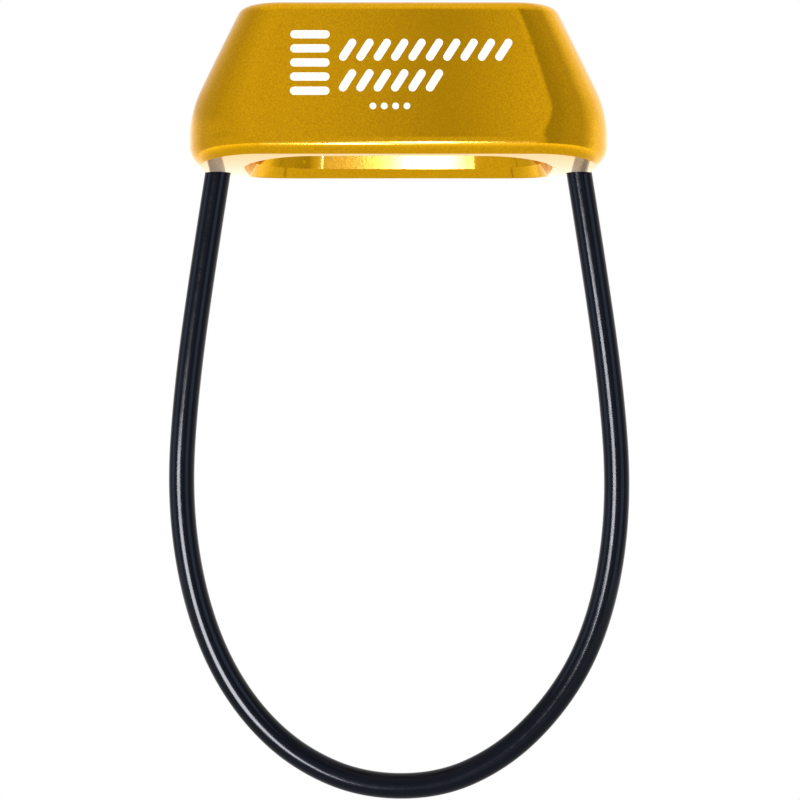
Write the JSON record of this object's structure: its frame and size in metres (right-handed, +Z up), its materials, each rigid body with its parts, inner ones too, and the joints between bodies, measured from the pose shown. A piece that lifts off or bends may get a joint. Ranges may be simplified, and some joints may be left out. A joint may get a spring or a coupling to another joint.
{
  "type": "tube belay device",
  "caption": "Tube-style belay device: tapered aluminium body with side-by-side rope slots and a springy jacketed wire keeper loop below.",
  "frame": {"origin": "middle of the body at the level of its front and back bottom rims, where the carabiner bears", "axes": "+Z up through the rope slots, +X to the right along the body's length, -Y out of the marked front face; the keeper loop hangs toward -Z"},
  "size_m": [0.0688, 0.0342, 0.1163],
  "materials": {
    "anodised_body": "gold anodised, satin to glossy, fine blasted grain",
    "laser_mark": "matt white laser mark in the anodising",
    "ferrule_steel": "swaged steel",
    "cable_jacket": "glossy blue-black extruded plastic",
    "wire_rope": "drawn steel wire, stranded"
  },
  "bodies": {
    "body": {"device_body": "anodised_body", "ferrule_left": "ferrule_steel", "ferrule_right": "ferrule_steel", "jacket_end_left": "cable_jacket", "jacket_end_right": "cable_jacket", "wire_end_left": "wire_rope", "wire_end_right": "wire_rope"},
    "keeper_loop": {"jacket_loop": "cable_jacket", "wire_loop": "wire_rope"}
  },
  "joints": [
    {"name": "keeper_loop_swing", "type": "hinge", "parent": "body", "child": "keeper_loop", "pos_m": [0, 0, -0.007], "axis": [1, 0, 0], "range_deg": [-50, 50], "stiffness_Nm_per_rad": 0.15}
  ]
}
